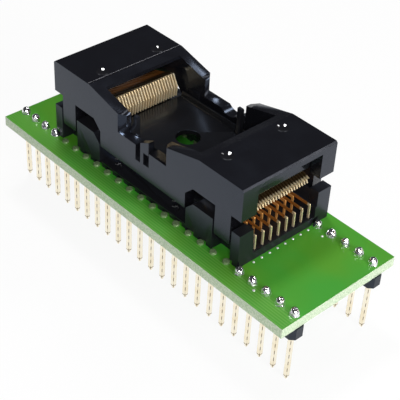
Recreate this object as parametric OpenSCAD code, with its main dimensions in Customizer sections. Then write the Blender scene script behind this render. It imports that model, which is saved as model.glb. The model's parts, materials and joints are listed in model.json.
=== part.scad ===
// Adapter with an open-top, push-to-open chip socket: a 48-lead thin package
// drops in from above and comes out on two rows of header pins.
// X runs along the board, Y across it, Z up; the pin tips stand on Z = 0.

/* [Circuit board] */
// Length of the board
board_length = 60.5; // [60:0.1:61]
// Width of the board
board_width = 21.8; // [20:0.1:24]
// Thickness of the board
board_thickness = 1.6; // [1.2:0.1:2]

/* [Header] */
// Pins in each of the two rows
pin_count = 24; // [24:1:24]
// Distance from one pin to the next
pin_pitch = 2.54; // [2.54:0.01:2.54]
// Distance between the two rows
row_spacing = 15.24; // [15.24:0.01:15.24]
// Side of the square pin
pin_side = 0.64; // [0.5:0.02:0.7]
// Free length of a pin below its strip
pin_reach = 8.5; // [6:0.1:10]
// Length of a pin above the board
pin_stub = 0.8; // [0.6:0.1:0.8]
// Height of the moulded strip
strip_height = 1.8; // [1.5:0.1:2.5]

/* [Socket body] */
// Length of the socket
socket_length = 40; // [40:0.1:41]
// Width of the socket
socket_width = 17.5; // [17.5:0.1:18]
// Height of the cover's top above the board
socket_height = 13; // [13:0.1:14]
// Socket centre from the board centre, along the board
socket_shift_x = -1.56; // [-3:0.02:3]
// Socket centre from the board centre, across the board
socket_shift_y = 1.38; // [-1.4:0.02:1.4]
// Height of the chip's seat above the board
seat_height = 6.5; // [6.5:0.05:6.6]
// How far the cover goes down
cover_travel = 2; // [1:0.1:2]

/* [Contacts] */
// Contacts at each end of the chip
contact_count = 24; // [6:3:24]
// Distance from one contact to the next
contact_pitch = 0.5; // [0.4:0.05:0.5]
// Thickness of the contact strip
contact_thickness = 0.2; // [0.15:0.01:0.25]

/* [Hidden] */
$fn = 48;

board_top = pin_reach + strip_height + board_thickness;
board_bottom = board_top - board_thickness;
half_length = socket_length / 2;
half_width = socket_width / 2;
past = 0.01;                     // overshoot of a cut past the face it opens

// header
barrel_r = 0.5;                  // plated hole for a header pin
strip_notch = 0.62;              // corner taken off each strip unit
tip_length = 0.7;
tip_side = 0.3;
short_stub = 0.3;                // pins under the socket are cut off just above the board
short_reach = 19;                // how far from the socket's middle they go

// cover
wall = 1.75;                     // side walls of the cover
opening_v = half_width - wall;   // half width of the chip's way in
opening_u = 10.1;                // half length of the chip's way in
crease_u = 11.6;                 // where the flat top turns into the slope
slope_end_u = 5.2;               // where the slope ends above the finger gap
slope_end_z = socket_height - 1.6;
slope = (socket_height - slope_end_z) / (crease_u - slope_end_u);
tower_end_u = 4.3;               // inner end of a tower, behind its slanted corner
gap_floor_z = 8.35;              // floor of the finger gap between the towers
skin = 0.55;                     // top plate of a tower
window_in_u = 9.2;
window_out_u = 15.1;
window_top_z = 7.75;
window_corner = 1.5;
leg_out_u = 18.1;
flange_z = 0.9;
leg_bottom_z = flange_z + cover_travel + 0.1;
overhang_z = 7.9;
skirt_z = 1.65 + cover_travel;   // lower edge between the windows
end_opening_v = 6;
lintel_z = 12;
pusher_u = 17.5;                 // rib that presses the contact levers
pusher_r = 0.4;
pusher_z = 8.4;
dimple_u = 13.15;
dimple_v = 5.15;
dimple_r = 0.95;
dimple_depth = 0.2;
finger_depth = 1;                // thickness of the snap finger
notch_r = 2.25;                  // round notch in the far wall

// base
seat_wall_v = [5.9, 6.5];        // walls that carry the chip seat, inside and outside
rail_v = [6, 6.85];
rail_z = 3;
post_in_v = 6.4;
corner_post_u = 18.4;
corner_post_v = 6.2;
corner_post_z = 5.5;
window_post_u = [9.45, 14.8];
window_post_z = 5.25;
carrier_u = [10.6, 13.5];        // block that holds the contacts
carrier_z = 3.2;
slot_floor_z = 1;
end_wall_u = 19.2;
end_wall_z = 1.3;
latch_u = [3.4, 4.15];
latch_v = [6.15, 6.85];
latch_top_z = 10.8;
peg_r = 0.75;
peg = [12.1, -7.6];              // front locating peg
rear_peg = [-12.1, 7.9];
relief_r = 0.82;                 // room round and over the header pins' solder
relief_z = 1.1;
low_relief_z = 0.6;              // over the pins that are cut short under the socket

// chip seat
seat_u = 8.9;
rest_u = 10.2;                   // outer end of the ledges under the chip's leads
rest_z = seat_height - 0.1;
seat_bottom_z = 4.7;
guide_v = [6.1, 6.45];
guide_z = seat_height + 1.1;

// contacts, in the plane of one blade: distance from the socket's middle, height
pivot_u = 11.5;
pivot_z = 4;
knuckle_r = 0.42;
knuckle_gap = 0.03;
blade_w = 0.3;                   // width of a lead
lead_bar_z = 3.3;                // underside of the bar from the post to the lead
lead_bar_h = 0.35;
lead_rows_u = [19.45, 16.7, 13.95];
lead_stub = 0.3;                 // lead below the board
strip_side_v = 4.4;              // beyond this the far header strip covers the board's underside
lead_hole_r = 0.25;
contact_row = contact_pitch * (contact_count - 1) / 2;

// springs
spring_u = 6.3;
spring_v = 7.7;
spring_r = 0.45;                 // to the middle of the wire
spring_wire_r = 0.1;
spring_bore_r = 0.62;
spring_top_z = 8;
spring_turns = 7;

function contact_v(i) = i * contact_pitch - contact_row;
function row_of(i) = [1, 0, 2][i % 3];    // 0 outer, 1 middle, 2 inner: the leads are staggered
function lead_end(i) = contact_v(i) > strip_side_v ? 0 : lead_stub;

// places its children in the socket's own frame, on the board
module on_board() translate([socket_shift_x, socket_shift_y, board_top]) children();

// side 1 is the front end of the socket, side -1 the rear one
module at_end(side) mirror([side < 0 ? 1 : 0, 0, 0]) children();

// a flat outline drawn as (u, z) becomes a blade of the given thickness, across v
module blade(thickness) rotate([90, 0, 0]) linear_extrude(thickness, center = true) children();

module box(low, high) translate(low) cube(high - low);

// the same solid at all four corners of the socket
module four_corners() for (u = [0, 1], v = [0, 1]) mirror([u, 0, 0]) mirror([0, v, 0]) children();

// places its children at the pins of one row: side -1 near, 1 far; short pins, the others or all
module at_pins(side, short = undef) {
    for (i = [0 : pin_count - 1]) if (is_undef(short) || is_short(i) == short)
        translate([(i - (pin_count - 1) / 2) * pin_pitch, side * row_spacing / 2, 0]) children();
}

// true for the pins that are cut short because the socket covers them
function is_short(i) =
    abs((i - (pin_count - 1) / 2) * pin_pitch - socket_shift_x) < short_reach;

module circuit_board() {
    color("forestgreen") difference() {
        translate([-board_length / 2, -board_width / 2, board_bottom])
            cube([board_length, board_width, board_thickness]);
        for (side = [-1, 1]) at_pins(side)
            translate([0, 0, board_bottom - 1]) cylinder(h = board_thickness + 2, r = barrel_r);
        on_board() for (side = [-1, 1]) at_end(side) for (i = [0 : contact_count - 1])
            translate([lead_rows_u[row_of(i)], contact_v(i), -board_thickness - 1])
                cylinder(h = board_thickness + 2, r = lead_hole_r, $fn = 16);
        on_board() for (hole = [peg, rear_peg]) translate([hole[0], hole[1], -board_thickness - 1])
            cylinder(h = board_thickness + 2, r = peg_r + 0.05);
    }
}

// strip of square units with their corners taken off
module header_strip(side) {
    half = pin_pitch / 2;
    unit = [[-half, half - strip_notch], [strip_notch - half, half],
            [half - strip_notch, half], [half, half - strip_notch]];
    edge = [for (i = [0 : pin_count - 1], p = unit)
            [p[0] + (i - (pin_count - 1) / 2) * pin_pitch, p[1]]];
    back = [for (i = [len(edge) - 1 : -1 : 0]) [edge[i][0], -edge[i][1]]];
    color([0.08, 0.08, 0.08]) difference() {
        translate([0, side * row_spacing / 2, pin_reach]) linear_extrude(strip_height)
            polygon([for (p = concat(edge, back)) p]);
        at_pins(side) translate([0, 0, pin_reach + strip_height / 2])
            cube([pin_side, pin_side, strip_height + 2], center = true);
    }
}

// square pin, tapered at its tip and, where it isn't cut short, at its top
module header_pin(stub) {
    top = board_top + stub;
    taper = stub < pin_stub ? 0 : tip_length / 2;
    s = pin_side / 2;
    t = tip_side / 2;
    outline = [[-t, 0], [t, 0], [s, tip_length], [s, top - taper], [s - taper * 0.45, top],
               [taper * 0.45 - s, top], [-s, top - taper], [-s, tip_length]];
    intersection() {
        blade(pin_side) polygon(outline);
        rotate([0, 0, 90]) blade(pin_side) polygon(outline);
    }
}

module header_pins(side) {
    color("gold") at_pins(side, true) header_pin(short_stub);
    color("gold") at_pins(side, false) header_pin(pin_stub);
}

// solder that fills a plated hole and climbs the pin
module solder_joint(height, foot, neck) {
    difference() {
        rotate_extrude($fn = 24) polygon([
            [0, board_bottom], [barrel_r, board_bottom], [barrel_r, board_top], [foot, board_top],
            [(foot + neck) / 2, board_top + height * 0.4], [neck, board_top + height],
            [0, board_top + height]]);
        translate([0, 0, board_top])
            cube([pin_side, pin_side, 4 * board_thickness], center = true);
    }
}

module pin_solder(side) {
    color([0.85, 0.86, 0.88]) at_pins(side, true) solder_joint(0.25, 0.7, 0.5);
    color([0.85, 0.86, 0.88]) at_pins(side, false) solder_joint(0.62, 0.7, 0.47);
}

// post of the base that stands in each cover window
module window_post() {
    cut = window_corner - 0.1;
    low = window_post_u[0];
    translate([0, half_width, 0]) rotate([90, 0, 0]) linear_extrude(half_width - post_in_v)
        polygon([[low, 0], [window_post_u[1], 0], [window_post_u[1], window_post_z],
                 [low + cut, window_post_z], [low, window_post_z - cut]]);
}

// snap post that holds the cover down on its springs
module latch() {
    inner = latch_v[0];
    outer = latch_v[1];
    translate([latch_u[0], 0, 0]) rotate([90, 0, 90]) linear_extrude(latch_u[1] - latch_u[0])
        polygon([[inner, flange_z / 2], [outer, flange_z / 2], [outer, gap_floor_z + 0.05],
                 [outer + 0.6, gap_floor_z + 0.05], [outer + 0.6, gap_floor_z + 0.4],
                 [outer, gap_floor_z + 1.3], [outer, latch_top_z - 0.3],
                 [outer - 0.2, latch_top_z], [inner, latch_top_z]]);
}

// room over the ends of the header pins, which both rows need under the socket
module pin_relief() {
    translate([-socket_shift_x, -socket_shift_y, -1]) for (side = [-1, 1]) {
        at_pins(side, true) cylinder(h = low_relief_z + 1, r = relief_r, $fn = 32);
        at_pins(side, false) cylinder(h = relief_z + 1, r = relief_r, $fn = 32);
    }
}

module socket_base() {
    color([0.1, 0.1, 0.11]) on_board() difference() {
        union() {
            four_corners() {
                box([-past, seat_wall_v[0], 0], [carrier_u[0] + 0.1, seat_wall_v[1], seat_bottom_z]);
                box([-past, seat_wall_v[0], 0], [window_post_u[0] + 0.1, half_width - 0.15, flange_z]);
                box([window_post_u[0], rail_v[0], 0], [half_length, rail_v[1], rail_z]);
                box([corner_post_u, corner_post_v, 0], [half_length, half_width, corner_post_z]);
                box([carrier_u[0], -past, 0], [carrier_u[1], post_in_v + 0.05, carrier_z]);
                box([end_wall_u, -past, 0], [half_length, corner_post_v + 0.05, end_wall_z]);
                window_post();
            }
            mirror([0, 1, 0]) mirror([1, 0, 0]) latch();
            latch();
            for (at = [peg, rear_peg]) translate([at[0], at[1], -board_thickness])
                cylinder(h = board_thickness + 1, r = peg_r);
        }
        for (side = [-1, 1]) at_end(side) for (i = [0 : contact_count - 1])
            translate([0, contact_v(i), 0]) {
                // slot for a contact's post, and for an outer lead in the end wall
                box([carrier_u[0] + 0.2, -contact_thickness / 2 - 0.02, slot_floor_z],
                    [carrier_u[1] + 0.1, contact_thickness / 2 + 0.02, carrier_z + 1]);
                if (row_of(i) == 0)
                    box([end_wall_u - 0.1, -0.15, -past], [end_wall_u + 0.45, 0.15, end_wall_z + 1]);
            }
        pin_relief();
    }
}

// plate between the carrier and the end wall that keeps the leads in line with their holes
module lead_guide(side) {
    color([0.12, 0.12, 0.13]) on_board() difference() {
        at_end(side) box([carrier_u[1] + 0.05, -seat_wall_v[0], 0],
                         [end_wall_u - 0.05, seat_wall_v[0], flange_z]);
        at_end(side) for (i = [0 : contact_count - 1])
            translate([lead_rows_u[row_of(i)], contact_v(i), 0])
                cube([blade_w + 0.06, contact_thickness + 0.06, 4], center = true);
        pin_relief();
    }
}

// seat for the chip's body, with ledges under its leads and guides along its sides
module chip_nest() {
    color([0.09, 0.09, 0.1]) on_board() difference() {
        union() {
            box([-seat_u, -guide_v[1], seat_bottom_z], [seat_u, guide_v[1], seat_height]);
            box([-rest_u, -guide_v[1], seat_bottom_z], [rest_u, guide_v[1], rest_z]);
            for (turn = [0, 180]) rotate([0, 0, turn]) rotate([90, 0, 90])
                linear_extrude(2 * seat_u - 0.8, center = true)
                    polygon([[guide_v[0], seat_bottom_z], [guide_v[1], seat_bottom_z],
                             [guide_v[1], guide_z], [guide_v[1] - 0.1, guide_z],
                             [guide_v[0], guide_z - 0.6]]);
        }
        translate([0, 0, seat_bottom_z - 1]) cylinder(h = 4, r = 1.8);
        translate([0, 0, seat_bottom_z - 1]) cylinder(h = 2, r = 3.2);
        // room for the latch posts
        for (turn = [0, 180]) rotate([0, 0, turn])
            box([latch_u[0] - 0.2, guide_v[0], 0], [latch_u[1] + 0.2, guide_v[1] + 1, 10]);
    }
}

// one half of the cover's side outline, from the outer top corner round to the skirt
function cover_half() = [
    [0, gap_floor_z], [slope_end_u, gap_floor_z], [slope_end_u, slope_end_z],
    [crease_u, socket_height], [half_length - 0.25, socket_height],
    [half_length, socket_height - 0.25], [half_length, overhang_z], [leg_out_u, overhang_z],
    [leg_out_u, leg_bottom_z + 0.2], [leg_out_u - 0.2, leg_bottom_z],
    [window_out_u + 0.2, leg_bottom_z], [window_out_u, leg_bottom_z + 0.2],
    [window_out_u, window_top_z], [window_in_u + window_corner, window_top_z],
    [window_in_u, window_top_z - window_corner], [window_in_u, skirt_z], [0, skirt_z]];

// hollow under a tower's top plate, open below
module tower_hollow() {
    ceiling = socket_height - skin;
    blade(2 * opening_v) polygon([
        [opening_u - past, 0], [leg_out_u, 0], [leg_out_u, ceiling], [crease_u, ceiling],
        [opening_u - past, ceiling - (crease_u - opening_u) * slope]]);
    box([leg_out_u - past, -end_opening_v, 0], [half_length - 1, end_opening_v, ceiling]);
}

module press_cover() {
    half = cover_half();
    dimple_ball = (dimple_r * dimple_r + dimple_depth * dimple_depth) / (2 * dimple_depth);
    color([0.11, 0.11, 0.13]) on_board() difference() {
        union() {
            for (side = [-1, 1]) at_end(side) {
                difference() {
                    blade(socket_width) polygon(half);
                    tower_hollow();
                    // way in for the chip
                    box([-1, -opening_v, 0], [opening_u, opening_v, socket_height + 1]);
                    // opening in the end wall
                    box([18, -end_opening_v, 0], [half_length + 1, end_opening_v, lintel_z]);
                }
                // rib that presses the contact levers, round at its lower edge
                box([pusher_u - pusher_r, -opening_v - past, pusher_z + pusher_r],
                    [pusher_u + pusher_r, opening_v + past, socket_height - skin + past]);
                translate([pusher_u, 0, pusher_z + pusher_r]) rotate([90, 0, 0])
                    cylinder(h = 2 * opening_v + 2 * past, r = pusher_r, center = true);
            }
            // tower ends are slanted in plan, and run a little way into the finger gap
            four_corners() intersection() {
                linear_extrude(slope_end_z) polygon([
                    [slope_end_u + 1, opening_v], [tower_end_u, opening_v],
                    [tower_end_u, half_width - slope_end_u + tower_end_u],
                    [slope_end_u, half_width], [slope_end_u + 1, half_width]]);
                blade(2 * socket_width) polygon([
                    [0, gap_floor_z - 1], [slope_end_u + past, gap_floor_z - 1],
                    [slope_end_u + past, slope_end_z], [0, slope_end_z - slope_end_u * slope]]);
            }
            // bosses round the return springs
            four_corners() box([spring_u - 1, opening_v - 0.35, skirt_z],
                               [spring_u + 1, opening_v + past, gap_floor_z]);
            snap_finger();
        }
        four_corners() translate([spring_u, spring_v, 0])
            cylinder(h = spring_top_z, r = spring_bore_r);
        for (u = [-dimple_u, dimple_u], v = [-dimple_v, dimple_v])
            translate([u, v, socket_height - dimple_depth + dimple_ball]) sphere(dimple_ball);
        finger_slots();
        // round notch on the far side
        translate([0.95, half_width, 9.95]) rotate([90, 0, 0])
            cylinder(h = 2 * wall + 1, r = notch_r, center = true);
    }
}

// spring tongue with a hooked head in the middle of the near wall
module snap_finger() {
    translate([0, (finger_depth - socket_width) / 2, 0]) blade(finger_depth) polygon([
        [-0.25, gap_floor_z - 1], [-0.25, 9.23], [1.5, 10.1], [1.5, 7.9], [0.4, 7.9],
        [0.4, gap_floor_z - 1]]);
}

module finger_slots() {
    translate([0, -half_width, 0]) {
        box([-1.27, -1, 5.85], [-0.25, wall + 1, 12]);
        box([0.4, -1, 5.95], [1.6, wall + 1, 7.9]);
        box([1.5, -1, 7.8], [1.6, wall + 1, 12]);
        box([-1.27, finger_depth, 5.85], [1.6, wall + 1, 12]);
    }
}

// the four springs under the cover
module return_springs() {
    rise = spring_top_z - flange_z - 2 * spring_wire_r - 0.04;
    color("silver") on_board()
        for (u = [-spring_u, spring_u], v = [-spring_v, spring_v])
            translate([u, v, flange_z + spring_wire_r + 0.02]) spring_coil(rise);
}

// round wire wound in a coil of even pitch
module spring_coil(rise) {
    steps = 12;
    sides = 6;
    rings = spring_turns * steps;
    points = [for (i = [0 : rings], k = [0 : sides - 1])
        let (a = 360 * i / steps, b = 360 * k / sides, r = spring_r + spring_wire_r * cos(b))
        [r * cos(a), r * sin(a), rise * i / rings + spring_wire_r * sin(b)]];
    sleeve = [for (i = [0 : rings - 1], k = [0 : sides - 1])
        let (a = i * sides + k, b = i * sides + (k + 1) % sides)
        [a, b, b + sides, a + sides]];
    start = [for (k = [sides - 1 : -1 : 0]) k];
    finish = [for (k = [0 : sides - 1]) rings * sides + k];
    polyhedron(points, concat(sleeve, [start, finish]));
}

// fixed part of a contact: a post in the carrier, a bar and the lead down through the board
module lead_outline(lead_u, stub) {
    post = [carrier_u[0] + 0.3, carrier_u[1] - 0.2];
    bar_top = lead_bar_z + lead_bar_h;
    cup_u = pivot_u + knuckle_r + 0.25;
    lead = [lead_u - blade_w / 2, lead_u + blade_w / 2];
    bottom = -board_thickness - stub;
    difference() {
        polygon([[post[0], slot_floor_z + 0.02], [post[1], slot_floor_z + 0.02],
                 [post[1], lead_bar_z], [lead[0], lead_bar_z], [lead[0], bottom],
                 [lead[1], bottom], [lead[1], bar_top - 0.1], [lead[1] - 0.1, bar_top],
                 [cup_u, bar_top], [cup_u, pivot_z], [post[0], pivot_z]]);
        translate([pivot_u, pivot_z]) circle(knuckle_r + knuckle_gap);
    }
}

module leads(side, row) {
    color("goldenrod") on_board() at_end(side)
        for (i = [0 : contact_count - 1]) if (row_of(i) == row)
            translate([0, contact_v(i), 0]) blade(contact_thickness)
                lead_outline(lead_rows_u[row], lead_end(i));
}

// moving part of a contact: a springy stem with the nose that grips the chip's lead on one
// side and the lever that the cover presses on the other
module arm_outline() {
    polygon([[10, 10.1], [18.35, 7.2], [17.95, 6.75], [18.2, 6.3], [17.8, 6.3], [12.75, 8.05],
             [12.2, 7.9], [11.95, 7.3], [12.1, 6.2], [pivot_u + 0.35, pivot_z],
             [pivot_u - 0.35, pivot_z], [11.3, 6.2], [11.15, 7.5], [10.75, 8.15], [10.2, 8.15],
             [9.95, 7.9], [9.45, 6.6], [9.15, 6.6], [9, 8.3], [9.75, 9.75]]);
    translate([pivot_u, pivot_z]) circle(knuckle_r);
}

module contact_arms(side) {
    color("gold") on_board() at_end(side) for (i = [0 : contact_count - 1])
        translate([0, contact_v(i), 0]) blade(contact_thickness) arm_outline();
}

// solder round each lead, in its plated hole and below the board
module lead_solder(side) {
    color([0.82, 0.83, 0.85]) on_board() at_end(side)
        for (i = [0 : contact_count - 1]) difference() {
            translate([lead_rows_u[row_of(i)], contact_v(i), -board_thickness]) {
                cylinder(h = board_thickness, r = lead_hole_r, $fn = 16);
                if (lead_end(i) > 0) translate([0, 0, -0.35])
                    cylinder(h = 0.35, r1 = 0.22, r2 = 0.42, $fn = 16);
            }
            translate([lead_rows_u[row_of(i)], contact_v(i), 0])
                cube([blade_w, contact_thickness, 4 * board_thickness], center = true);
        }
}

circuit_board();
header_strip(-1);  // header_strip_near
header_strip(1);  // header_strip_far
header_pins(-1);  // header_pins_near
header_pins(1);  // header_pins_far
pin_solder(-1);  // pin_solder_near
pin_solder(1);  // pin_solder_far
socket_base();
lead_guide(1);  // front_lead_guide
lead_guide(-1);  // rear_lead_guide
chip_nest();
press_cover();
return_springs();
leads(1, 0);  // front_leads_outer
leads(1, 1);  // front_leads_middle
leads(1, 2);  // front_leads_inner
leads(-1, 0);  // rear_leads_outer
leads(-1, 1);  // rear_leads_middle
leads(-1, 2);  // rear_leads_inner
contact_arms(1);  // front_contact_arms
contact_arms(-1);  // rear_contact_arms
lead_solder(1);  // front_lead_solder
lead_solder(-1);  // rear_lead_solder
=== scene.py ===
"""Open-top chip socket soldered to a narrow green adapter board with two rows of header pins.

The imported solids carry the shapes. This script dresses them: it eases the moulded edges,
flows the solder, prints the copper under the green mask and gives every piece its finish.
"""

import json
import math
import random

import bmesh
import bpy
from mathutils import Matrix, Vector

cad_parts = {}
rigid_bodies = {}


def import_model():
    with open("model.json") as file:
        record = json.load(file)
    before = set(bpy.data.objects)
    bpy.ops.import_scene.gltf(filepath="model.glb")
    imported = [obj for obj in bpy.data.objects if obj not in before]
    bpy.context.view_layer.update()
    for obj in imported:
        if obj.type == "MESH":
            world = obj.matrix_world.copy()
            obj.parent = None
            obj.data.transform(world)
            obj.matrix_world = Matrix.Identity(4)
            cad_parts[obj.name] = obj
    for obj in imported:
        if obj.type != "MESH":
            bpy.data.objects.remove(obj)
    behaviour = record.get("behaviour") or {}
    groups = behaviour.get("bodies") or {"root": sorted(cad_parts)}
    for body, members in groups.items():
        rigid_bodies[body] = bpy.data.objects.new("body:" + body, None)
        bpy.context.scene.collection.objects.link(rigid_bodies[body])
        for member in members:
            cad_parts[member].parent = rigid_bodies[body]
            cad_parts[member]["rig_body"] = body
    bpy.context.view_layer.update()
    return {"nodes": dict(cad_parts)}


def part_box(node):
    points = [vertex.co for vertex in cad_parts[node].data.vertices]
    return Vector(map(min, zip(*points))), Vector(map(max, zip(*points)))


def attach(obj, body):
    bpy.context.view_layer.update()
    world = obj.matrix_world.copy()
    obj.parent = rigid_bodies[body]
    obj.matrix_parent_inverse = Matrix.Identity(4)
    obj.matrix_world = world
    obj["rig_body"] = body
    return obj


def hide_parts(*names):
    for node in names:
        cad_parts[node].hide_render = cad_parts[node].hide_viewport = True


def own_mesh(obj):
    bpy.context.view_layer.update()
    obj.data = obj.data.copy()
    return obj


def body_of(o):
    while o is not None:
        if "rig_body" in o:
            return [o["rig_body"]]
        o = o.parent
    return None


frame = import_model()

MM = 0.001

# ---------------------------------------------------------------------------------------
# Camera
# A long lens looks down on the near front corner, so that the cover's top, its near side
# and its open front end all show.
# ---------------------------------------------------------------------------------------

VIEW_FORWARD = Vector((-0.5630, 0.5472, -0.6193))
VIEW_RIGHT = Vector((0.6707, 0.7404, 0.0445))
VIEW_PLACE = Vector((92.97, -87.42, 109.33)) * MM
LENS_MM = 99.2

right = VIEW_RIGHT.normalized()
back = -VIEW_FORWARD.normalized()
up = back.cross(right).normalized()
right = up.cross(back).normalized()

camera = bpy.data.cameras.new("studio_camera")
camera.lens = LENS_MM
camera.sensor_width = 36
camera.clip_start = 0.01
camera_object = bpy.data.objects.new("studio_camera", camera)
camera_object.matrix_world = Matrix.Translation(VIEW_PLACE) @ Matrix((right, up, back)).transposed().to_4x4()
bpy.context.scene.collection.objects.link(camera_object)
bpy.context.scene.camera = camera_object

# ---------------------------------------------------------------------------------------
# Circuit board
# A 1.6 mm glass-fibre board. Green solder mask covers both faces; the routed edges show the
# pale laminate. Copper tracks show through the mask, lengthwise, along the near edge.
# ---------------------------------------------------------------------------------------

MASK_GREEN = (0.045, 0.300, 0.024, 1)
MASK_OLIVE = (0.075, 0.285, 0.015, 1)
MASK_OVER_COPPER = (0.110, 0.330, 0.050, 1)
TRACK_PITCH = 0.42 * MM
LAMINATE = (0.58, 0.66, 0.50, 1)
LAMINATE_DARK = (0.40, 0.52, 0.34, 1)

board_low, board_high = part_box("circuit_board")
board_top = board_high.z


def new_material(name):
    """An empty node material with one Principled shader; gives the material and its parts."""
    material = bpy.data.materials.new(name)
    material.use_nodes = True
    tree = material.node_tree
    tree.nodes.clear()
    output = tree.nodes.new("ShaderNodeOutputMaterial")
    shader = tree.nodes.new("ShaderNodeBsdfPrincipled")
    tree.links.new(shader.outputs["BSDF"], output.inputs["Surface"])
    return material, tree, shader


def surface_place(tree):
    """Object coordinates, in metres."""
    return tree.nodes.new("ShaderNodeTexCoord").outputs["Object"]


def noise(tree, scale, detail):
    node = tree.nodes.new("ShaderNodeTexNoise")
    node.inputs["Scale"].default_value = scale
    node.inputs["Detail"].default_value = detail
    tree.links.new(surface_place(tree), node.inputs["Vector"])
    return node.outputs["Fac"]


def spread(tree, value, low, high, start=0.35, end=0.65):
    """Maps the middle of a noise onto low to high."""
    node = tree.nodes.new("ShaderNodeMapRange")
    tree.links.new(value, node.inputs["Value"])
    for name, number in (("From Min", start), ("From Max", end), ("To Min", low), ("To Max", high)):
        node.inputs[name].default_value = number
    return node.outputs["Result"]


def colour_mix(tree, factor, first, second):
    node = tree.nodes.new("ShaderNodeMix")
    node.data_type = "RGBA"
    for socket, value in ((node.inputs[6], first), (node.inputs[7], second)):
        if isinstance(value, tuple):
            socket.default_value = value
        else:
            tree.links.new(value, socket)
    tree.links.new(factor, node.inputs[0])
    return node.outputs[2]


def fine_bump(tree, shader, height, strength, distance):
    node = tree.nodes.new("ShaderNodeBump")
    node.inputs["Strength"].default_value = strength
    node.inputs["Distance"].default_value = distance
    tree.links.new(height, node.inputs["Height"])
    tree.links.new(node.outputs["Normal"], shader.inputs["Normal"])


board_finish, tree, shader = new_material("green mask on glass fibre")
normal = tree.nodes.new("ShaderNodeNewGeometry").outputs["Normal"]
axes = tree.nodes.new("ShaderNodeSeparateXYZ")
tree.links.new(normal, axes.inputs["Vector"])
steep = tree.nodes.new("ShaderNodeMath")
steep.operation = "ABSOLUTE"
tree.links.new(axes.outputs["Z"], steep.inputs[0])
is_face = spread(tree, steep.outputs[0], 0, 1, 0.45, 0.55)
mottled = colour_mix(tree, spread(tree, noise(tree, 90, 2), 0, 1, 0.4, 0.62), MASK_GREEN, MASK_OLIVE)
place = tree.nodes.new("ShaderNodeSeparateXYZ")
tree.links.new(surface_place(tree), place.inputs["Vector"])
lines = tree.nodes.new("ShaderNodeMath")
lines.operation = "PINGPONG"
tree.links.new(place.outputs["Y"], lines.inputs[0])
lines.inputs[1].default_value = TRACK_PITCH / 2
near_edge = spread(tree, place.outputs["Y"], 1, 0, board_low.y + 2.9 * MM, board_low.y + 3.3 * MM)
tracks = tree.nodes.new("ShaderNodeMath")
tracks.operation = "MULTIPLY"
stripes = spread(tree, lines.outputs[0], 0, 1, 0.35 * TRACK_PITCH / 2, 0.65 * TRACK_PITCH / 2)
tree.links.new(stripes, tracks.inputs[0])
tree.links.new(near_edge, tracks.inputs[1])
mottled = colour_mix(tree, tracks.outputs[0], mottled, MASK_OVER_COPPER)
weave = spread(tree, noise(tree, 4200, 2), 0, 1, 0.4, 0.6)
edge = colour_mix(tree, weave, LAMINATE_DARK, LAMINATE)
tree.links.new(colour_mix(tree, is_face, edge, mottled), shader.inputs["Base Color"])
tree.links.new(spread(tree, is_face, 0.75, 0.30, 0, 1), shader.inputs["Roughness"])
shader.inputs["Coat Weight"].default_value = 0.25
shader.inputs["Coat Roughness"].default_value = 0.18
fine_bump(tree, shader, noise(tree, 1500, 3), 0.12, 0.00003)
frame["nodes"]["circuit_board"].data.materials.clear()
frame["nodes"]["circuit_board"].data.materials.append(board_finish)

# ---------------------------------------------------------------------------------------
# Header strips
# Two black glass-filled strips under the board, moulded as square units with cut corners.
# Their edges are eased by about a twentieth of a millimetre.
# ---------------------------------------------------------------------------------------

STRIP_BLACK = (0.012, 0.013, 0.014, 1)
SLATE_SHEEN = (0.50, 0.65, 0.95, 1)


def grain_group():
    """Shared effect: the fine grain and slight sheen changes of moulded plastic."""
    group = bpy.data.node_groups.new("moulded grain", "ShaderNodeTree")
    for name, value in (("Grain Scale", 9000.0), ("Sheen Scale", 220.0), ("Low", 0.3), ("High", 0.4)):
        socket = group.interface.new_socket(name, in_out="INPUT", socket_type="NodeSocketFloat")
        socket.default_value = value
    group.interface.new_socket("Vector", in_out="INPUT", socket_type="NodeSocketVector")
    group.interface.new_socket("Height", in_out="OUTPUT", socket_type="NodeSocketFloat")
    group.interface.new_socket("Roughness", in_out="OUTPUT", socket_type="NodeSocketFloat")
    source = group.nodes.new("NodeGroupInput")
    sink = group.nodes.new("NodeGroupOutput")
    grain = group.nodes.new("ShaderNodeTexNoise")
    grain.inputs["Detail"].default_value = 2
    sheen = group.nodes.new("ShaderNodeTexNoise")
    sheen.inputs["Detail"].default_value = 3
    level = group.nodes.new("ShaderNodeMapRange")
    level.inputs["From Min"].default_value = 0.35
    level.inputs["From Max"].default_value = 0.65
    link = group.links.new
    link(source.outputs["Vector"], grain.inputs["Vector"])
    link(source.outputs["Vector"], sheen.inputs["Vector"])
    link(source.outputs["Grain Scale"], grain.inputs["Scale"])
    link(source.outputs["Sheen Scale"], sheen.inputs["Scale"])
    link(sheen.outputs["Fac"], level.inputs["Value"])
    link(source.outputs["Low"], level.inputs["To Min"])
    link(source.outputs["High"], level.inputs["To Max"])
    link(grain.outputs["Fac"], sink.inputs["Height"])
    link(level.outputs["Result"], sink.inputs["Roughness"])
    return group


moulded_grain = grain_group()


def moulded_plastic(name, colour, low, high, grain=0.15):
    material, tree, shader = new_material(name)
    effect = tree.nodes.new("ShaderNodeGroup")
    effect.node_tree = moulded_grain
    effect.inputs["Low"].default_value = low
    effect.inputs["High"].default_value = high
    tree.links.new(surface_place(tree), effect.inputs["Vector"])
    tree.links.new(effect.outputs["Roughness"], shader.inputs["Roughness"])
    shader.inputs["Base Color"].default_value = colour
    shader.inputs["Specular Tint"].default_value = SLATE_SHEEN
    fine_bump(tree, shader, effect.outputs["Height"], grain, 0.00002)
    return material


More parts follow.
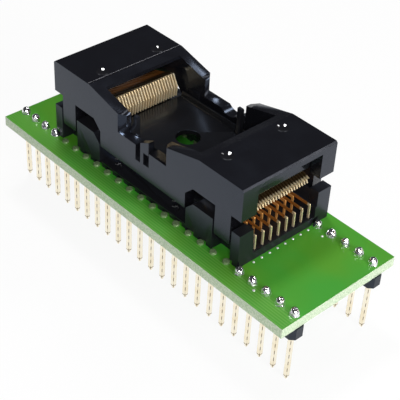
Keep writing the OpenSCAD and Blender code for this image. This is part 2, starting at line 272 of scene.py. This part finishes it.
def eased_copy(node, name, width_mm, material, segments=2, edge_material=None):
    """The same solid with its sharp outer edges rounded over, in place of the plain one."""
    mesh = frame["nodes"][node].data.copy()
    mesh.name = name
    solid = bmesh.new()
    solid.from_mesh(mesh)
    bmesh.ops.remove_doubles(solid, verts=solid.verts, dist=0.000002)
    bmesh.ops.dissolve_limit(solid, angle_limit=math.radians(1.0), verts=solid.verts, edges=solid.edges)
    weight = solid.edges.layers.float.new("bevel_weight_edge")
    for edge in solid.edges:
        if edge.is_manifold and edge.is_convex and edge.calc_face_angle() > math.radians(12):
            edge[weight] = 1
    solid.to_mesh(mesh)
    solid.free()
    mesh.materials.clear()
    mesh.materials.append(material)
    piece = bpy.data.objects.new(name, mesh)
    bpy.context.scene.collection.objects.link(piece)
    bevel = piece.modifiers.new("eased edges", "BEVEL")
    bevel.width = width_mm * MM
    bevel.segments = segments
    bevel.limit_method = "WEIGHT"
    if edge_material:
        mesh.materials.append(edge_material)
        bevel.material = 1
    bevel.use_clamp_overlap = True
    bevel.harden_normals = True
    for face in mesh.polygons:
        face.use_smooth = True
    mesh.set_sharp_from_angle(angle=math.radians(35))
    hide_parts(node)
    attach(piece, body_of(frame["nodes"][node])[0])
    return piece


strip_plastic = moulded_plastic("black strip plastic", STRIP_BLACK, 0.38, 0.5)
for side in ("near", "far"):
    eased_copy("header_strip_" + side, "eased_header_strip_" + side, 0.05, strip_plastic, 1)

# ---------------------------------------------------------------------------------------
# Header pins
# Square brass wire, gold plated, cut and tapered at both ends. The plating is bright on the
# drawn faces; the drawn edges are dull gold with painted shade in dark bands along them.
# ---------------------------------------------------------------------------------------

PIN_GOLD = (0.97, 0.91, 0.76, 1)
PIN_GOLD_DULL = (0.93, 0.82, 0.60, 1)
PIN_EDGE_SHADE = (0.22, 0.16, 0.09, 1)
SHADE_BAND_PITCH = 1.28 * MM

pin_finish, tree, shader = new_material("gold plated pin")
worn = spread(tree, noise(tree, 500, 2), 0, 1, 0.40, 0.75)
tree.links.new(colour_mix(tree, worn, PIN_GOLD, PIN_GOLD_DULL), shader.inputs["Base Color"])
shader.inputs["Metallic"].default_value = 1
tree.links.new(spread(tree, worn, 0.10, 0.24, 0, 1), shader.inputs["Roughness"])

# Painted shade: dark bands, 1.28 mm apart, on the pins' edge bevels.
pin_edge_shade_finish, tree, shader = new_material("drawn edge of a pin")
axes = tree.nodes.new("ShaderNodeSeparateXYZ")
tree.links.new(surface_place(tree), axes.inputs["Vector"])
bands = tree.nodes.new("ShaderNodeMath")
bands.operation = "PINGPONG"
tree.links.new(axes.outputs["Z"], bands.inputs[0])
bands.inputs[1].default_value = SHADE_BAND_PITCH / 2
dark = spread(tree, bands.outputs[0], 0, 1, 0.35 * SHADE_BAND_PITCH / 2, 0.65 * SHADE_BAND_PITCH / 2)
tree.links.new(colour_mix(tree, dark, PIN_GOLD_DULL, PIN_EDGE_SHADE), shader.inputs["Base Color"])
shader.inputs["Metallic"].default_value = 1
shader.inputs["Roughness"].default_value = 0.4
for side in ("near", "far"):
    eased_copy("header_pins_" + side, "drawn_pins_" + side, 0.07, pin_finish, 1, pin_edge_shade_finish)

# ---------------------------------------------------------------------------------------
# Solder on the header pins
# Solder fills each plated hole and closes over the pin in a small rounded heap, a little
# different at every pin. Under the socket's edge it stays low and is coloured dark green, as painted shade
# and painted reflection of the board.
# ---------------------------------------------------------------------------------------

SOLDER = (0.95, 0.95, 0.96, 1)
SHADED_TIN = (0.20, 0.30, 0.14, 1)

solder_finish, tree, shader = new_material("bright solder")
shader.inputs["Base Color"].default_value = SOLDER
shader.inputs["Metallic"].default_value = 1
tree.links.new(spread(tree, noise(tree, 1500, 2), 0.14, 0.24), shader.inputs["Roughness"])
fine_bump(tree, shader, noise(tree, 1700, 1), 0.6, 0.0003)

# Painted shade: the low joints under the socket's edge are coloured dark green.
low_tin_painted_shade, tree, shader = new_material("solder under a film of mask")
shader.inputs["Base Color"].default_value = SHADED_TIN
shader.inputs["Metallic"].default_value = 0.4
tree.links.new(spread(tree, noise(tree, 1500, 2), 0.20, 0.32), shader.inputs["Roughness"])

dull_tin, tree, shader = new_material("dull tin")
shader.inputs["Base Color"].default_value = SOLDER
shader.inputs["Metallic"].default_value = 0.55
tree.links.new(spread(tree, noise(tree, 1500, 2), 0.36, 0.5), shader.inputs["Roughness"])

PIN_PITCH = 2.54 * MM
PIN_COUNT = 24
ROW_OFFSET = 7.62 * MM
# radius at the foot, radius at the top, height, and how hollow the side is
OPEN_JOINT = (0.78 * MM, 0.16 * MM, 0.88 * MM, 0.75)
LOW_JOINT = (0.54 * MM, 0.46 * MM, 0.32 * MM, 2.2)
JOINT_SINK = 0.01 * MM
COVERED_REACH = 19 * MM
SOCKET_MIDDLE = -1.56 * MM


def solder_joint(mesh, place, foot, top, height, lean, hollow, segments=20, rings=7):
    """One joint, added to the mesh: a dome where hollow is below one, a flared cone above it."""
    loops = []
    for ring in range(rings + 1):
        t = ring / rings
        radius = top + (foot - top) * (1 - t) ** hollow
        if ring == rings:
            radius *= 0.82
        z = height * (math.sin(t * math.pi / 2) ** 0.9)
        shift = lean * t
        loops.append([mesh.verts.new((place[0] + shift.x + radius * math.cos(a),
                                      place[1] + shift.y + radius * math.sin(a), place[2] + z))
                      for a in (math.tau * k / segments for k in range(segments))])
    for low, high in zip(loops, loops[1:]):
        for k in range(segments):
            n = (k + 1) % segments
            mesh.faces.new((low[k], low[n], high[n], high[k]))
    mesh.faces.new(loops[-1])
    mesh.faces.new(loops[0][::-1])


def finished_piece(name, mesh, material, body, sharp_deg=50):
    """Turns a bmesh into an object that rides on a body."""
    data = bpy.data.meshes.new(name)
    bmesh.ops.recalc_face_normals(mesh, faces=mesh.faces)
    mesh.to_mesh(data)
    mesh.free()
    for face in data.polygons:
        face.use_smooth = True
    data.set_sharp_from_angle(angle=math.radians(sharp_deg))
    data.materials.append(material)
    piece = bpy.data.objects.new(name, data)
    bpy.context.scene.collection.objects.link(piece)
    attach(piece, body)
    return piece


rng = random.Random(7)
for side, y in (("near", -ROW_OFFSET), ("far", ROW_OFFSET)):
    open_joints, low_joints = bmesh.new(), bmesh.new()
    for i in range(PIN_COUNT):
        x = (i - (PIN_COUNT - 1) / 2) * PIN_PITCH
        lean = Vector((rng.uniform(-0.05, 0.05), rng.uniform(-0.05, 0.05), 0)) * MM
        covered = abs(x - SOCKET_MIDDLE) < COVERED_REACH
        foot, top, height, hollow = LOW_JOINT if covered else OPEN_JOINT
        solder_joint(low_joints if covered else open_joints, (x, y, board_top - JOINT_SINK),
                     foot * rng.uniform(0.95, 1.03), top * rng.uniform(0.96, 1.1),
                     height * rng.uniform(0.97, 1.05), lean, hollow)
    flowed = finished_piece("flowed_solder_" + side, open_joints, solder_finish, "board_assembly")
    finished_piece("low_solder_" + side, low_joints, low_tin_painted_shade, "board_assembly")
    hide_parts("pin_solder_" + side)

# ---------------------------------------------------------------------------------------
# Tinned vias
# A row of eight small filled holes in front of each end of the socket, and two single ones by the
# front pins. Each is a low bright button.
# ---------------------------------------------------------------------------------------

VIA_RADIUS = 0.19 * MM
VIA_PITCH = 1.51 * MM
VIA_FIRST = -4.72 * MM
VIA_ROW = 20.4 * MM
VIAS_A_ROW = 8
LONE_VIAS = ((22.84 * MM, -8.62 * MM), (21.04 * MM, 6.38 * MM))

vias = bmesh.new()
places = [(SOCKET_MIDDLE + end * VIA_ROW, VIA_FIRST + k * VIA_PITCH)
          for end in (-1, 1) for k in range(VIAS_A_ROW)]
for x, y in places + list(LONE_VIAS):
    solder_joint(vias, (x, y, board_top - JOINT_SINK), VIA_RADIUS, 0.08 * MM, 0.09 * MM, Vector(), 0.6, 14, 4)
finished_piece("tinned_vias", vias, dull_tin, "board_assembly")

# ---------------------------------------------------------------------------------------
# Socket body
# Base, lead guides and chip seat are moulded in black glass-filled plastic. The base snaps the
# cover down with two hooked posts and holds the contacts in its slotted blocks.
# ---------------------------------------------------------------------------------------

BASE_BLACK = (0.010, 0.010, 0.012, 1)
SEAT_BLACK = (0.008, 0.008, 0.009, 1)

base_plastic = moulded_plastic("black socket plastic", BASE_BLACK, 0.30, 0.40)
seat_plastic = moulded_plastic("black seat plastic", SEAT_BLACK, 0.16, 0.24, 0.06)
eased_copy("socket_base", "eased_socket_base", 0.05, base_plastic, 1)
eased_copy("chip_nest", "eased_chip_seat", 0.05, seat_plastic, 1)
for end in ("front", "rear"):
    mesh = frame["nodes"][end + "_lead_guide"].data
    mesh.materials.clear()
    mesh.materials.append(base_plastic)

# ---------------------------------------------------------------------------------------
# Shade blocks
# Short upright blocks on the base's side rails, between the contacts and the cover's legs. They
# close the view through the end windows, standing there as painted shade.
# ---------------------------------------------------------------------------------------

SHADE_BLOCK_LOW = Vector((14.9, 6.2, 2.9))
SHADE_BLOCK_HIGH = Vector((18.3, 6.5, 5.2))
SOCKET_ORIGIN = Vector((-1.56, 1.38, 11.9))

# Painted shade: dark blocks that hide the see-through gap at the end windows.
shade_blocks = bmesh.new()
shade_block_size = (SHADE_BLOCK_HIGH - SHADE_BLOCK_LOW) * MM
shade_block_middle = (SHADE_BLOCK_HIGH + SHADE_BLOCK_LOW) / 2
for end in (-1, 1):
    for side in (-1, 1):
        place = SOCKET_ORIGIN + Vector((end * shade_block_middle.x, side * shade_block_middle.y, shade_block_middle.z))
        shape = Matrix.Translation(place * MM) @ Matrix.Diagonal((*shade_block_size, 1))
        bmesh.ops.create_cube(shade_blocks, size=1, matrix=shape)
finished_piece("rail_webs", shade_blocks, base_plastic, "board_assembly", 30)

# ---------------------------------------------------------------------------------------
# Springs
# Four steel coils stand on the base's flange and reach up into the cover's blind bores. The real
# coils squeeze together as the cover comes down; here they keep their imported shape.
# ---------------------------------------------------------------------------------------

SPRING_STEEL = (0.14, 0.14, 0.15, 1)

spring_finish, tree, shader = new_material("spring steel")
shader.inputs["Base Color"].default_value = SPRING_STEEL
shader.inputs["Metallic"].default_value = 1
tree.links.new(spread(tree, noise(tree, 3000, 2), 0.28, 0.42), shader.inputs["Roughness"])
springs = frame["nodes"]["return_springs"]
coil_mesh = springs.data.copy()
coil_mesh.name = "squeezed_springs"
coil_mesh.materials.clear()
coil_mesh.materials.append(spring_finish)
coils = bpy.data.objects.new("squeezed_springs", coil_mesh)
bpy.context.scene.collection.objects.link(coils)
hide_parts("return_springs")
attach(coils, body_of(springs)[0])
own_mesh(coils)

# ---------------------------------------------------------------------------------------
# Contacts
# Stamped blades, gold plated: fixed leads in the base and the guides, and arms whose noses grip
# the chip's leads. Inside the socket they only see each other; their amber colour and faint amber
# emission there are painted reflection and painted light, and painted light and shade run along the arms and
# the outer leads.
# ---------------------------------------------------------------------------------------

CONTACT_GOLD = (0.97, 0.83, 0.56, 1)
CONTACT_GOLD_DULL = (0.93, 0.74, 0.44, 1)
# Painted reflection and painted light: the inner leads are coloured amber and given a faint amber emission.
CONTACT_AMBER_REFLECTION = (0.88, 0.45, 0.14, 1)
CONTACT_AMBER_REFLECTION_DULL = (0.78, 0.36, 0.10, 1)
PAINTED_AMBER_GLOW = (1.0, 0.36, 0.07, 1)
WHITE = (1, 1, 1, 1)
IN_SHADE = (0.07, 0.05, 0.03, 1)
LIT_AMBER = (0.55, 0.25, 0.08, 1)
# distances from the socket's middle in millimetres, each with the painted light and shade multiplied onto the
# gold there
ARM_PAINTED_SHADES = ((9.0, WHITE), (10.25, WHITE), (10.65, IN_SHADE), (11.8, IN_SHADE), (12.6, LIT_AMBER),
             (14.0, LIT_AMBER), (14.6, IN_SHADE), (17.7, IN_SHADE), (18.0, WHITE))
LEAD_PAINTED_SHADES = ((18.0, LIT_AMBER), (19.0, LIT_AMBER), (19.2, WHITE), (20.0, WHITE))


def plated_strip(name, bright, dull, painted_glow, painted_shades=None):
    """Gold with a little wear; painted_shades multiply painted light and shade onto it along the socket's
    length, and painted_glow sets a faint painted emission.
    """
    material, tree, shader = new_material(name)
    worn = spread(tree, noise(tree, 700, 2), 0, 1, 0.35, 0.7)
    colour = colour_mix(tree, worn, bright, dull)
    if painted_shades:
        axes = tree.nodes.new("ShaderNodeSeparateXYZ")
        tree.links.new(surface_place(tree), axes.inputs["Vector"])
        along = tree.nodes.new("ShaderNodeMath")
        along.operation = "SUBTRACT"
        along.inputs[1].default_value = SOCKET_MIDDLE
        tree.links.new(axes.outputs["X"], along.inputs[0])
        distance = tree.nodes.new("ShaderNodeMath")
        distance.operation = "ABSOLUTE"
        tree.links.new(along.outputs[0], distance.inputs[0])
        first, last = painted_shades[0][0], painted_shades[-1][0]
        ramp = tree.nodes.new("ShaderNodeValToRGB")
        for stop, (place, painted_tone) in enumerate(painted_shades):
            point = ramp.color_ramp.elements[stop] if stop < 2 else ramp.color_ramp.elements.new(1)
            point.position = (place - first) / (last - first)
            point.color = painted_tone
        tree.links.new(spread(tree, distance.outputs[0], 0, 1, first * MM, last * MM), ramp.inputs["Fac"])
        # Painted light and shade: the ramp darkens and lightens the gold along the socket's length.
        shaded_colour = tree.nodes.new("ShaderNodeMix")
        shaded_colour.data_type = "RGBA"
        shaded_colour.blend_type = "MULTIPLY"
        shaded_colour.inputs[0].default_value = 1
        tree.links.new(colour, shaded_colour.inputs[6])
        tree.links.new(ramp.outputs["Color"], shaded_colour.inputs[7])
        colour = shaded_colour.outputs[2]
    tree.links.new(colour, shader.inputs["Base Color"])
    shader.inputs["Metallic"].default_value = 0.7
    tree.links.new(spread(tree, worn, 0.36, 0.46, 0, 1), shader.inputs["Roughness"])
    # Painted light: a faint amber emission, used on the contacts inside the socket.
    shader.inputs["Emission Color"].default_value = PAINTED_AMBER_GLOW
    shader.inputs["Emission Strength"].default_value = painted_glow
    return material


outer_gold = plated_strip("gold plated lead", CONTACT_GOLD, CONTACT_GOLD_DULL, 0, LEAD_PAINTED_SHADES)
inner_painted_amber = plated_strip("gold inside the socket", CONTACT_AMBER_REFLECTION, CONTACT_AMBER_REFLECTION_DULL, 0.06)
arm_gold = plated_strip("gold plated arm", CONTACT_GOLD, CONTACT_GOLD_DULL, 0, ARM_PAINTED_SHADES)

for end in ("front", "rear"):
    for name, finish in (("_leads_outer", outer_gold), ("_leads_middle", inner_painted_amber),
                         ("_leads_inner", inner_painted_amber), ("_contact_arms", arm_gold),
                         ("_lead_solder", solder_finish)):
        mesh = frame["nodes"][end + name].data
        mesh.materials.clear()
        mesh.materials.append(finish)

# ---------------------------------------------------------------------------------------
# Cover
# The sprung frame that is pushed down to open the contacts, moulded in the same black plastic
# with a slightly finer, glossier skin.
# ---------------------------------------------------------------------------------------

COVER_BLACK = (0.007, 0.007, 0.009, 1)
MARK_PLACE = (13.15 * MM, 5.15 * MM)
MARK_RADIUS = 0.96 * MM

cover_plastic = moulded_plastic("black cover plastic", COVER_BLACK, 0.16, 0.24, 0.06)
cover = eased_copy("press_cover", "eased_press_cover", 0.07, cover_plastic)

polished, tree, shader = new_material("polished pin mark")
shader.inputs["Base Color"].default_value = COVER_BLACK
shader.inputs["Coat Weight"].default_value = 1
shader.inputs["Coat Roughness"].default_value = 0.03
tree.links.new(spread(tree, noise(tree, 1800, 2), 0.05, 0.09), shader.inputs["Roughness"])
cover.data.materials.append(polished)
cover_low, cover_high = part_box("press_cover")
middle = (cover_low + cover_high) / 2
for face in cover.data.polygons:
    from_middle = face.center - middle
    across = math.hypot(abs(from_middle.x) - MARK_PLACE[0], abs(from_middle.y) - MARK_PLACE[1])
    if across < MARK_RADIUS and cover_high.z - 0.3 * MM < face.center.z < cover_high.z - 0.002 * MM:
        face.material_index = 1

# ---------------------------------------------------------------------------------------
# Crease highlight
# A thin pale strip along the crease of the rear tower, a painted highlight. It stands a hair
# proud of the cover.
# ---------------------------------------------------------------------------------------

HIGHLIGHT_GREY = (0.30, 0.30, 0.33, 1)
HIGHLIGHT_WIDTH = 0.10 * MM

# Painted highlight: a pale grey strip, broken up by noise, on the crease.
crease_highlight_finish, tree, shader = new_material("pale mould line")
highlight_breakup = spread(tree, noise(tree, 1500, 3), 0, 1, 0.38, 0.62)
tree.links.new(colour_mix(tree, highlight_breakup, (0.10, 0.10, 0.11, 1), HIGHLIGHT_GREY), shader.inputs["Base Color"])
tree.links.new(spread(tree, highlight_breakup, 0.3, 0.5, 0, 1), shader.inputs["Roughness"])

CREASE_FROM_REAR = 8.0 * MM
highlight_strip = bmesh.new()
edges = []
for x, z in ((-0.5, -0.01), (-0.25, 0.012), (0.25, 0.012), (0.5, -0.02)):
    edges.append([highlight_strip.verts.new((cover_low.x + CREASE_FROM_REAR + x * HIGHLIGHT_WIDTH, y, cover_high.z + z * MM))
                  for y in (cover_low.y + 0.1 * MM, cover_high.y - 0.1 * MM)])
for first, second in zip(edges, edges[1:]):
    highlight_strip.faces.new((first[0], second[0], second[1], first[1]))
finished_piece("crease_line", highlight_strip, crease_highlight_finish, "cover")

# ---------------------------------------------------------------------------------------
# Studio
# A white floor, a dim room and soft lamps. The floor shows as white to the eye and in
# reflections, and still takes a faint shadow.
# ---------------------------------------------------------------------------------------

FLOOR_SIZE = 4.0
ROOM = (0.04, 0.04, 0.045, 1)
HORIZON = (0.34, 0.36, 0.39, 1)

floor_material = bpy.data.materials.new("white studio floor")
floor_material.use_nodes = True
tree = floor_material.node_tree
tree.nodes.clear()
path = tree.nodes.new("ShaderNodeLightPath")
seen = path.outputs["Is Camera Ray"]
for other in ("Is Glossy Ray", "Is Transmission Ray"):
    either = tree.nodes.new("ShaderNodeMath")
    either.operation = "MAXIMUM"
    tree.links.new(seen, either.inputs[0])
    tree.links.new(path.outputs[other], either.inputs[1])
    seen = either.outputs[0]
share = tree.nodes.new("ShaderNodeMath")
share.operation = "MULTIPLY"
share.inputs[1].default_value = 0.9
tree.links.new(seen, share.inputs[0])
paint = tree.nodes.new("ShaderNodeBsdfDiffuse")
paint.inputs["Color"].default_value = (0.88, 0.88, 0.88, 1)
white = tree.nodes.new("ShaderNodeEmission")
white.inputs["Strength"].default_value = 1.0
mixed = tree.nodes.new("ShaderNodeMixShader")
output = tree.nodes.new("ShaderNodeOutputMaterial")
tree.links.new(share.outputs[0], mixed.inputs["Fac"])
tree.links.new(paint.outputs["BSDF"], mixed.inputs[1])
tree.links.new(white.outputs["Emission"], mixed.inputs[2])
tree.links.new(mixed.outputs["Shader"], output.inputs["Surface"])

floor_mesh = bpy.data.meshes.new("studio_floor")
half = FLOOR_SIZE / 2
floor_mesh.from_pydata([(-half, -half, 0), (half, -half, 0), (half, half, 0), (-half, half, 0)], [],
                       [(0, 1, 2, 3)])
floor_mesh.materials.append(floor_material)
floor = bpy.data.objects.new("studio_floor", floor_mesh)
bpy.context.scene.collection.objects.link(floor)

world = bpy.data.worlds.new("dim room")
world.use_nodes = True
tree = world.node_tree
direction = tree.nodes.new("ShaderNodeTexCoord").outputs["Generated"]
axes = tree.nodes.new("ShaderNodeSeparateXYZ")
tree.links.new(direction, axes.inputs["Vector"])
rise = tree.nodes.new("ShaderNodeMapRange")
rise.inputs["From Min"].default_value = 0.0
rise.inputs["From Max"].default_value = 0.18
tree.links.new(axes.outputs["Z"], rise.inputs["Value"])
room_light = colour_mix(tree, rise.outputs["Result"], HORIZON, ROOM)
tree.links.new(room_light, tree.nodes["Background"].inputs["Color"])
bpy.context.scene.world = world


def lamp(name, place_mm, aim_mm, size_mm, watts, colour=(1, 1, 1)):
    """A square softbox at a place, turned towards a point."""
    data = bpy.data.lights.new(name, "AREA")
    data.shape = "SQUARE"
    data.size = size_mm * MM
    data.energy = watts
    data.color = colour
    lamp_object = bpy.data.objects.new(name, data)
    place = Vector(place_mm) * MM
    direction = Vector(aim_mm) * MM - place
    lamp_object.location = place
    lamp_object.rotation_euler = direction.to_track_quat("-Z", "Y").to_euler()
    bpy.context.scene.collection.objects.link(lamp_object)


lamp("overhead_softbox", (-116, 58, 318), (0, 0, 12), 60, 0.42)
lamp("far_softbox", (2, 213, 264), (0, 0, 12), 70, 0.20)
lamp("camera_side_softbox", (215, -205, 240), (0, 0, 12), 100, 0.70)
lamp("front_softbox", (310, -20, 130), (0, 0, 12), 100, 0.70)
lamp("right_softbox", (205, 182, 198), (0, 0, 12), 60, 0.06, (1, 0.85, 0.7))

bpy.context.scene.view_settings.view_transform = "Standard"
